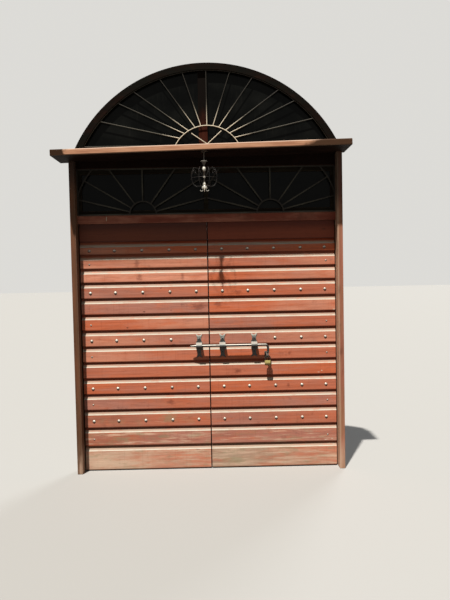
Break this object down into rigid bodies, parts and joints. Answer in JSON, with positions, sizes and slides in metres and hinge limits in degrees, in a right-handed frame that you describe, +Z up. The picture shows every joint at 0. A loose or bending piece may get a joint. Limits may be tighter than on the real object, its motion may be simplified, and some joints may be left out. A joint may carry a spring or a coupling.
{
  "type": "arched double door",
  "caption": "Studded timber double door with lapped boards, in its frame with transom light, canopy shelf, barred arched fanlight, hanging lantern, sliding bolt and padlock.",
  "frame": {"origin": "on the sill, on the meeting line of the leaves, in the plane of the outer boards' faces", "axes": "+Z up, +X to the right seen from outside, +Y into the building"},
  "size_m": [2.4265, 0.5153, 3.4978],
  "materials": {
    "board_wood": "sun-bleached red-brown stain, weathered, pale dusty ledges",
    "lining_wood": "plain aged planks",
    "frame_wood": "weathered red-brown stain",
    "sash_wood": "old grey-green paint, mostly dark",
    "dark_glass": "dark window glass",
    "pale_iron": "dusty flat bar",
    "dark_iron": "black forged iron",
    "lantern_iron": "dark iron",
    "bulb_glass": "frosted bulb",
    "stud_iron": "worn bright heads",
    "forged_iron": "grey forged straps",
    "rod_steel": "rubbed bright on top",
    "lock_brass": "dull brass",
    "shackle_steel": "worn steel"
  },
  "bodies": {
    "frame": {"left_jamb": "frame_wood", "right_jamb": "frame_wood", "transom_rail": "frame_wood", "head_beam": "frame_wood", "canopy_shelf": "frame_wood", "arch_frame": "frame_wood", "fanlight_sill": "frame_wood", "fanlight_mullion": "frame_wood", "fanlight_panes": "dark_glass", "fanlight_grille": "pale_iron", "transom_sash": "sash_wood", "transom_panes": "dark_glass", "transom_grille_left": "dark_iron", "transom_grille_right": "dark_iron", "hinge_pintles": "dark_iron", "lantern_body": "lantern_iron", "lantern_cage": "lantern_iron", "lantern_bulb": "bulb_glass"},
    "left_leaf": {"left_board_01": "board_wood", "left_board_02": "board_wood", "left_board_03": "board_wood", "left_board_04": "board_wood", "left_board_05": "board_wood", "left_board_06": "board_wood", "left_board_07": "board_wood", "left_board_08": "board_wood", "left_board_09": "board_wood", "left_board_10": "board_wood", "left_board_11": "board_wood", "left_board_12": "board_wood", "left_board_13": "board_wood", "left_board_14": "board_wood", "left_board_15": "board_wood", "left_lining": "lining_wood", "left_studs": "stud_iron", "left_hinge_straps": "dark_iron", "bolt_keeper": "forged_iron"},
    "right_leaf": {"right_board_01": "board_wood", "right_board_02": "board_wood", "right_board_03": "board_wood", "right_board_04": "board_wood", "right_board_05": "board_wood", "right_board_06": "board_wood", "right_board_07": "board_wood", "right_board_08": "board_wood", "right_board_09": "board_wood", "right_board_10": "board_wood", "right_board_11": "board_wood", "right_board_12": "board_wood", "right_board_13": "board_wood", "right_board_14": "board_wood", "right_board_15": "board_wood", "right_lining": "lining_wood", "right_studs": "stud_iron", "right_hinge_straps": "dark_iron", "bolt_guides": "forged_iron", "padlock_staple": "forged_iron"},
    "bolt": {"bolt_rod": "rod_steel"},
    "padlock": {"padlock_body": "lock_brass", "padlock_shackle": "shackle_steel"}
  },
  "joints": [
    {"name": "left_leaf_hinge", "type": "hinge", "parent": "frame", "child": "left_leaf", "pos_m": [-1.112, 0.085, 0], "axis": [0, 0, 1], "range_deg": [0, 90]},
    {"name": "right_leaf_hinge", "type": "hinge", "parent": "frame", "child": "right_leaf", "pos_m": [1.112, 0.085, 0], "axis": [0, 0, -1], "range_deg": [0, 90]},
    {"name": "bolt_slide", "type": "slide", "parent": "right_leaf", "child": "bolt", "axis": [1, 0, 0], "range_m": [0, 0.18]},
    {"name": "padlock_swing", "type": "hinge", "parent": "bolt", "child": "padlock", "pos_m": [0.5, -0.05, 0.992], "axis": [-1, 0, 0], "range_deg": [-20, 110]}
  ]
}
